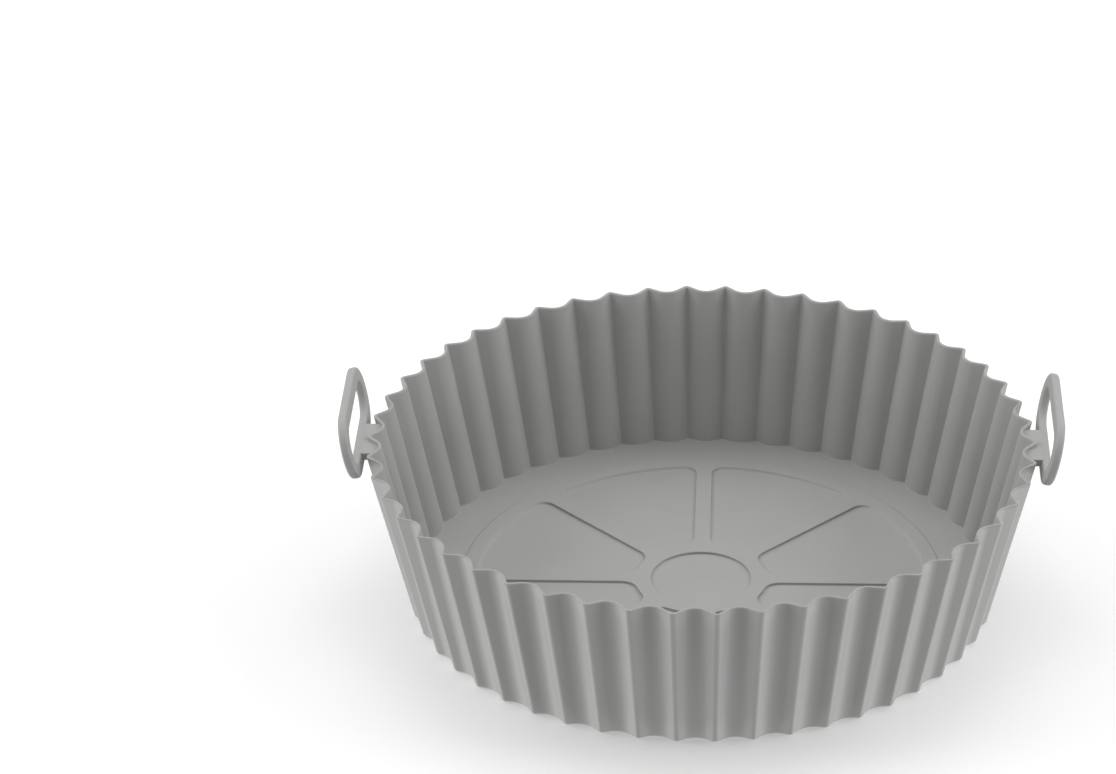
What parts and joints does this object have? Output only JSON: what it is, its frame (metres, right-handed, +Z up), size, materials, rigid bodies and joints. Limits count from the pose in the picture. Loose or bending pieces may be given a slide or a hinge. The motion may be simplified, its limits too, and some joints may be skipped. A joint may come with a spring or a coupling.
{
  "type": "air fryer liner",
  "caption": "Round reusable silicone liner for an air fryer basket, with a tapered fluted wall, a ribbed floor and two upright loop handles on short stems.",
  "frame": {"origin": "centre of the flat underside, on the surface the liner stands on", "axes": "+Z up along the pot's axis, +X towards one of the two handles, +Y along the handles' length"},
  "size_m": [0.2138, 0.1994, 0.0648],
  "materials": {
    "silicone": "matte"
  },
  "bodies": {
    "root": {"liner": "silicone"}
  },
  "joints": []
}
